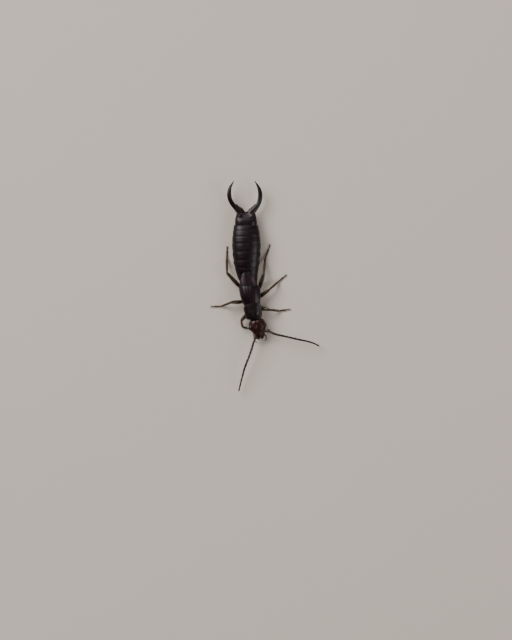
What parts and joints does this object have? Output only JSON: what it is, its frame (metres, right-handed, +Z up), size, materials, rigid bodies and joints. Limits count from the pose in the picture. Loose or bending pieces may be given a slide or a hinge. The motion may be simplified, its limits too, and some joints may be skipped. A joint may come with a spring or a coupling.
{
  "type": "earwig model",
  "caption": "Still, life-size model of a male earwig on its feet, with open bowed forceps, short wing cases, banded abdomen, beaded antennae and its head turned a little to one side.",
  "frame": {"origin": "on the floor under the feet, below the middle of the whole animal's box, feelers and forceps included", "axes": "+Y from the head to the forceps, +Z up from the floor through the back, +X to the animal's left"},
  "size_m": [0.0132, 0.0252, 0.0025],
  "materials": {
    "head_shell": "glossy reddish-brown horn",
    "eye": "black, finely faceted",
    "antenna": "satin dark brown",
    "thorax_shell": "satin dark brown, paler at the edges",
    "wing_case": "satin dark brown",
    "wing_tip": "satin brown with a paler spot",
    "abdomen_shell": "glossy near-black with a reddish tinge",
    "forceps": "glossy near-black, reddish at the root",
    "leg": "satin yellowish-brown"
  },
  "bodies": {
    "root": {"head": "head_shell", "eye_left": "eye", "eye_right": "eye", "mouthparts": "head_shell", "antenna_left": "antenna", "antenna_right": "antenna", "pronotum": "thorax_shell", "prothorax": "thorax_shell", "thorax": "thorax_shell", "tegmen_left": "wing_case", "tegmen_right": "wing_case", "wing_tip_left": "wing_tip", "wing_tip_right": "wing_tip", "abdomen": "abdomen_shell", "last_tergite": "abdomen_shell", "forceps_left": "forceps", "forceps_right": "forceps", "leg_front_left": "leg", "leg_middle_left": "leg", "leg_hind_left": "leg", "leg_front_right": "leg", "leg_middle_right": "leg", "leg_hind_right": "leg"}
  },
  "joints": []
}
